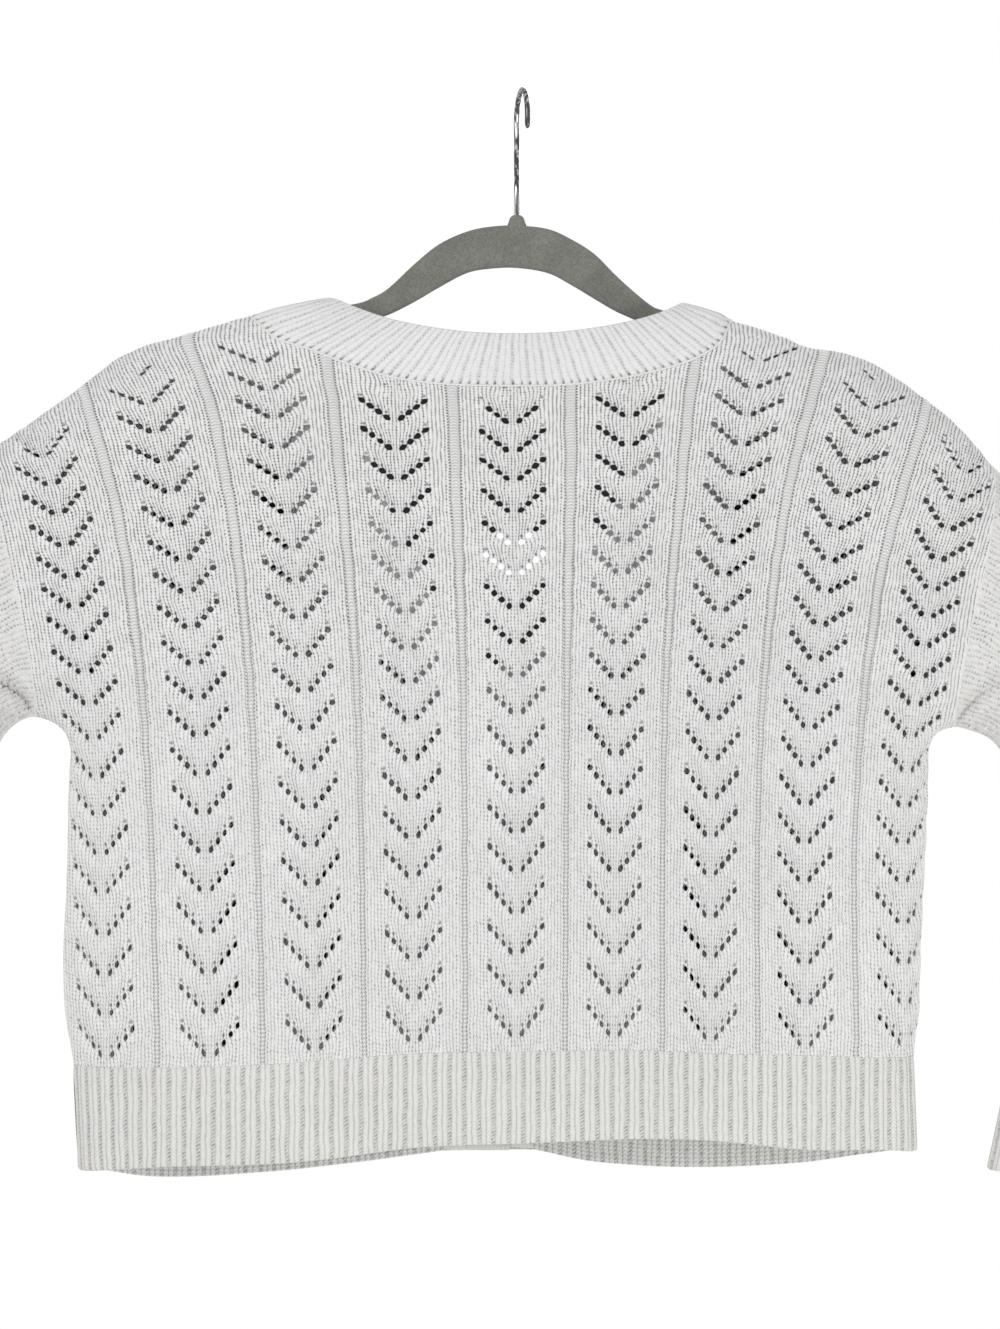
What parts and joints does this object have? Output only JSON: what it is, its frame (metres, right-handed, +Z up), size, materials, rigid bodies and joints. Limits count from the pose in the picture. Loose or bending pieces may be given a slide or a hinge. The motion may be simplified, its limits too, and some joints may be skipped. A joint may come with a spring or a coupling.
{
  "type": "cropped cardigan on a hanger",
  "caption": "Cropped pointelle cardigan with ribbed hem, cuffs and V neck band, hanging flat on a slim velvet hanger with a wire hook.",
  "frame": {"origin": "inside top of the hanger's hook, where a rail holds it up", "axes": "+Z up, +X towards the wearer's right, the garment's back faces -Y and its buttoned front +Y"},
  "size_m": [0.772, 0.0722, 0.6352],
  "materials": {
    "pointelle_knit": "off-white cotton rib knit with eyelets",
    "rib_knit": "off-white cotton rib",
    "button_shell": "soft gloss",
    "velvet": "grey flock",
    "hook_chrome": "polished"
  },
  "bodies": {
    "root": {"back_panel": "pointelle_knit", "front_left_panel": "pointelle_knit", "front_right_panel": "pointelle_knit", "sleeve_left": "pointelle_knit", "sleeve_right": "pointelle_knit", "hem_back": "rib_knit", "hem_front_left": "rib_knit", "hem_front_right": "rib_knit", "cuff_left": "rib_knit", "cuff_right": "rib_knit", "neck_and_front_band": "rib_knit", "button_1": "button_shell", "button_2": "button_shell", "button_3": "button_shell", "button_4": "button_shell", "button_5": "button_shell", "hanger": "velvet", "hook": "hook_chrome"}
  },
  "joints": []
}
